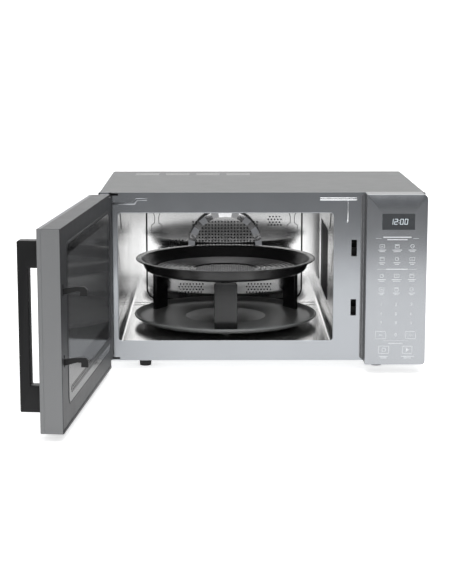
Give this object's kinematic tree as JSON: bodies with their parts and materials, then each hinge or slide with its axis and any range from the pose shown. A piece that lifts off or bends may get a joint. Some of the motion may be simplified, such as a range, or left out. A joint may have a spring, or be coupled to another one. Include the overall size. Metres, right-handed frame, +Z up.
{
  "type": "microwave oven",
  "caption": "Countertop combination microwave oven in silver grey with its side-hinged door open, a legged crisp pan with a lifting hoop on the turntable, and a touch panel with display.",
  "frame": {"origin": "on the worktop under the middle of the cabinet, with the door left out of the count", "axes": "+Z up, +X to the right seen from the front, +Y from the front plate towards the rear panel"},
  "size_m": [0.6183, 0.8589, 0.298],
  "materials": {
    "case_paint": "satin silver-grey enamel on steel sheet",
    "front_enamel": "smooth silver-grey enamel, semi-gloss",
    "cavity_steel": "bright stainless sheet",
    "zinc_sheet": "plain zinc-plated sheet",
    "door_silver": "silver-grey lacquered moulding",
    "door_liner": "glossy grey enamelled liner",
    "black_plastic": "black moulding, fine texture",
    "panel_silver": "silver-grey moulding",
    "display_gloss": "smoked display window",
    "display_lit": "lit digits behind smoked plastic",
    "door_glass": "smoked glass",
    "clear_glass": "clear glass",
    "screen_dark": "black perforated screen",
    "pan_enamel": "dark non-stick coating",
    "hoop_chrome": "polished",
    "element_steel": "heat-tinted tube",
    "foot_rubber": "matt black rubber",
    "white_plastic": "natural heat-resistant plastic",
    "mica_sheet": "dark mica board",
    "copper_wire": "enamelled winding wire",
    "core_iron": "laminated core",
    "alloy_bright": "plain aluminium",
    "board_green": "circuit board with its parts",
    "spring_steel": "bright wire"
  },
  "bodies": {
    "cabinet": {"outer_wrap": "case_paint", "rear_panel": "zinc_sheet", "base_plate": "zinc_sheet", "front_plate": "front_enamel", "cavity_shell": "cavity_steel", "cavity_back_wall": "cavity_steel", "waveguide_cover": "mica_sheet", "waveguide": "zinc_sheet", "magnetron": "alloy_bright", "transformer_core": "core_iron", "transformer_windings": "copper_wire", "hv_capacitor": "alloy_bright", "hv_diode": "black_plastic", "cooling_fan_housing": "black_plastic", "cooling_fan_motor": "core_iron", "noise_filter_board": "board_green", "cord_gland": "black_plastic", "convection_housing": "zinc_sheet", "convection_motor": "core_iron", "convection_heater": "element_steel", "rear_bulge_cover": "zinc_sheet", "grill_heater": "element_steel", "cavity_lamp": "white_plastic", "turntable_motor": "zinc_sheet", "control_housing": "panel_silver", "control_fascia": "panel_silver", "display_lens": "display_gloss", "display_module": "display_lit", "control_board": "board_green", "touch_foil": "black_plastic", "latch_body": "white_plastic", "door_switches": "black_plastic", "door_hinges": "zinc_sheet", "feet": "foot_rubber", "cover_screws": "zinc_sheet", "thermal_cutouts": "zinc_sheet"},
    "door": {"door_facade": "door_silver", "door_glass": "door_glass", "door_body": "door_liner", "choke_frame": "zinc_sheet", "door_screen": "screen_dark", "inner_window": "clear_glass", "door_handle": "black_plastic", "handle_screws": "zinc_sheet", "latch_spring": "spring_steel"},
    "latch": {"latch_key": "black_plastic"},
    "drive": {"drive_coupler": "white_plastic"},
    "ring": {"roller_ring": "white_plastic"},
    "wheel_1": {"roller_wheel_1": "white_plastic"},
    "wheel_2": {"roller_wheel_2": "white_plastic"},
    "wheel_3": {"roller_wheel_3": "white_plastic"},
    "tray": {"glass_turntable": "clear_glass"},
    "pan": {"crisp_pan": "pan_enamel", "pan_handle": "hoop_chrome", "pan_legs": "pan_enamel"},
    "cooling_fan": {"cooling_fan_blade": "white_plastic"},
    "hot_fan": {"convection_fan_blade": "zinc_sheet"},
    "switch_upper": {"switch_plunger_upper": "white_plastic"},
    "switch_lower": {"switch_plunger_lower": "white_plastic"}
  },
  "joints": [
    {"name": "door_hinge", "type": "hinge", "parent": "cabinet", "child": "door", "pos_m": [-0.264, -0.1949, 0.15], "axis": [0, 0, 1], "range_deg": [-14.8, 95.2]},
    {"name": "latch_lift", "type": "slide", "parent": "door", "child": "latch", "axis": [0, 0, 1], "range_m": [0, 0.002], "stiffness_N_per_m": 200, "springref_m": -0.004, "deforming": ["latch_spring"]},
    {"name": "coupler_spin", "type": "hinge", "parent": "cabinet", "child": "drive", "pos_m": [-0.05955, -0.0065, 0.05], "axis": [0, 0, 1], "continuous": true},
    {"name": "tray_lift", "type": "slide", "parent": "drive", "child": "tray", "axis": [0, 0, 1], "range_m": [0, 0.007]},
    {"name": "pan_lift", "type": "slide", "parent": "tray", "child": "pan", "axis": [0, 0, 1], "range_m": [0, 0.006]},
    {"name": "ring_spin", "type": "hinge", "parent": "cabinet", "child": "ring", "pos_m": [-0.05955, -0.0065, 0.05], "axis": [0, 0, 1], "continuous": true},
    {"name": "wheel_spin_1", "type": "hinge", "parent": "ring", "child": "wheel_1", "pos_m": [0.02792, 0.044, 0.0491], "axis": [0.866, 0.5, 0], "continuous": true},
    {"name": "wheel_spin_2", "type": "hinge", "parent": "ring", "child": "wheel_2", "pos_m": [-0.14702, 0.044, 0.0491], "axis": [-0.866, 0.5, 0], "continuous": true},
    {"name": "wheel_spin_3", "type": "hinge", "parent": "ring", "child": "wheel_3", "pos_m": [-0.05955, -0.1075, 0.0491], "axis": [0, -1, 0], "continuous": true},
    {"name": "cooling_fan_spin", "type": "hinge", "parent": "cabinet", "child": "cooling_fan", "pos_m": [0.1946, 0.157, 0.18], "axis": [0, 1, 0], "continuous": true},
    {"name": "convection_fan_spin", "type": "hinge", "parent": "cabinet", "child": "hot_fan", "pos_m": [-0.05955, 0.181, 0.1564], "axis": [0, 1, 0], "continuous": true},
    {"name": "upper_plunger", "type": "slide", "parent": "cabinet", "child": "switch_upper", "axis": [0, 1, 0], "range_m": [0, 0.0015], "stiffness_N_per_m": 300, "springref_m": -0.002},
    {"name": "lower_plunger", "type": "slide", "parent": "cabinet", "child": "switch_lower", "axis": [0, 1, 0], "range_m": [0, 0.0015], "stiffness_N_per_m": 300, "springref_m": -0.002}
  ],
  "couplings": [
    {"joint": "ring_spin", "follows": "coupler_spin", "ratio": 0.5},
    {"joint": "wheel_spin_1", "follows": "coupler_spin", "ratio": -7.8906},
    {"joint": "wheel_spin_2", "follows": "coupler_spin", "ratio": -7.8906},
    {"joint": "wheel_spin_3", "follows": "coupler_spin", "ratio": -7.8906}
  ]
}
